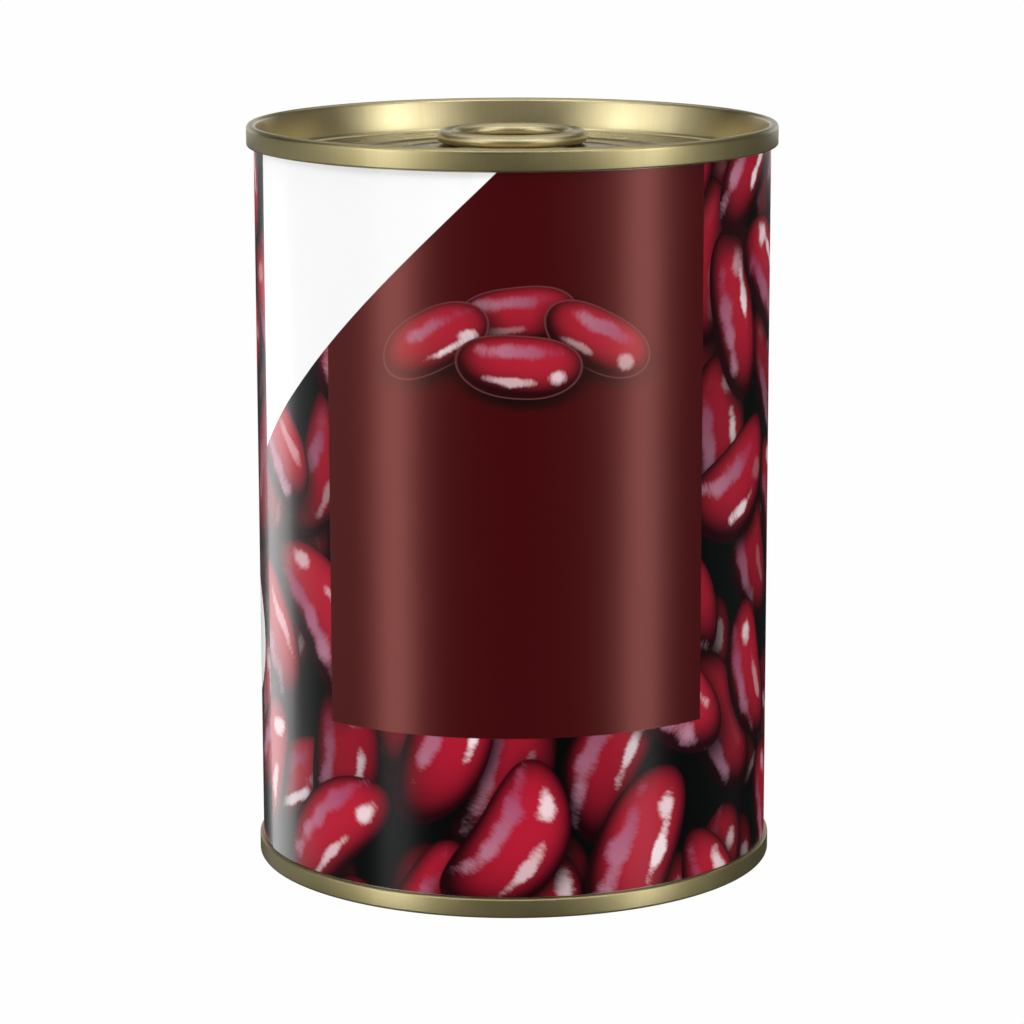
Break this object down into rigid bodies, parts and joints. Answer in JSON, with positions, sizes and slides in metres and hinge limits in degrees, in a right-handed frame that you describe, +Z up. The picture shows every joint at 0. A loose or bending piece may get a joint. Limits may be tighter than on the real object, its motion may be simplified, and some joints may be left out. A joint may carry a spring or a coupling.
{
  "type": "ring-pull food can",
  "caption": "Shut cylindrical tin can of beans with a paper label printed with beans round a plain panel, a seamed easy-open lid with a ring pull and a seamed plain base.",
  "frame": {"origin": "centre of the ring that the can stands on, on the floor", "axes": "+Z up along the can's axis; -Y is the front, with the middle of the label; the ring pull's nose points to +Y"},
  "size_m": [0.0762, 0.0762, 0.1073],
  "materials": {
    "tinplate": "bright tin-plated steel",
    "label_paper": "glossy varnished print: white field, maroon panel and red beans on black",
    "lacquered_end": "satin, clear gold lacquer",
    "tab_metal": "satin, clear gold lacquer, rolled edges"
  },
  "bodies": {
    "root": {"can_body": "tinplate", "label": "label_paper", "lid": "lacquered_end", "pull_tab": "tab_metal", "base": "lacquered_end"}
  },
  "joints": []
}
